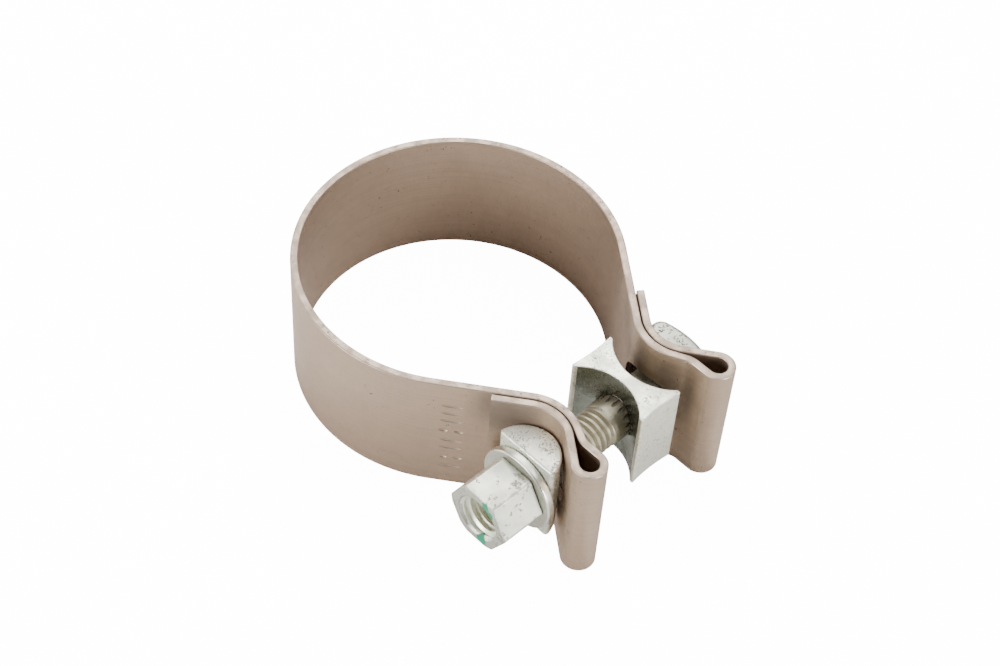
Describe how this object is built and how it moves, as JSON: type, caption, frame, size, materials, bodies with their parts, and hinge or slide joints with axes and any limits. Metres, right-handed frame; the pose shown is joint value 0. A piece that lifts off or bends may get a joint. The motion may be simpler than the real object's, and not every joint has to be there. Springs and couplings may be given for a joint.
{
  "type": "band clamp",
  "caption": "Single-bolt wide band clamp for a lapped exhaust pipe, with folded flanges, a hollow-sided reaction block and a half-round seat under its nut.",
  "frame": {"origin": "centre of the ring at mid-width of the band", "axes": "+Z along the pipe, +X from the pipe towards the bolt, +Y along the bolt from the nut to the head"},
  "size_m": [0.0969, 0.0719, 0.032],
  "materials": {
    "band_steel": "mill-finish stainless strip, warm grey, fine lengthwise grain",
    "bolt_steel": "plated steel, olive grey, rolled thread",
    "zinc_block": "zinc-plated steel, cut faces matt, drawn faces glossy",
    "zinc_turned": "zinc-plated steel, pale green-grey with dark specks"
  },
  "bodies": {
    "head_half": {"band_head_half": "band_steel"},
    "nut_half": {"band_nut_half": "band_steel"},
    "bolt": {"t_bolt": "bolt_steel"},
    "block": {"reaction_block": "zinc_block"},
    "spacer": {"half_round_spacer": "zinc_block"},
    "washer": {"flat_washer": "zinc_turned"},
    "nut": {"long_hex_nut": "zinc_turned"}
  },
  "joints": [
    {"name": "band_close", "type": "hinge", "parent": "head_half", "child": "nut_half", "pos_m": [-0.0342, 0, 0], "axis": [0, 0, 1], "range_deg": [0, 9.76]},
    {"name": "bolt_tilt", "type": "hinge", "parent": "head_half", "child": "bolt", "pos_m": [0.0443, 0.0237, 0], "axis": [0, 0, 1], "range_deg": [0, 4.89]},
    {"name": "block_slide", "type": "slide", "parent": "bolt", "child": "block", "axis": [0, 1, 0], "range_m": [0, 0.0022]},
    {"name": "spacer_rock", "type": "hinge", "parent": "nut_half", "child": "spacer", "pos_m": [0.0443, -0.0237, 0], "axis": [0, 0, 1], "range_deg": [-4.89, 0]},
    {"name": "washer_spin", "type": "hinge", "parent": "spacer", "child": "washer", "pos_m": [0.0443, -0.0243, 0], "axis": [0, 1, 0], "continuous": true},
    {"name": "nut_spin", "type": "hinge", "parent": "spacer", "child": "nut", "pos_m": [0.0443, -0.0307, 0], "axis": [0, 1, 0], "range_deg": [0, 3240]}
  ],
  "couplings": [
    {"joint": "band_close", "follows": "nut_spin", "ratio": 0.0030062},
    {"joint": "bolt_tilt", "follows": "nut_spin", "ratio": 0.0015031},
    {"joint": "spacer_rock", "follows": "nut_spin", "ratio": -0.0015031}
  ]
}
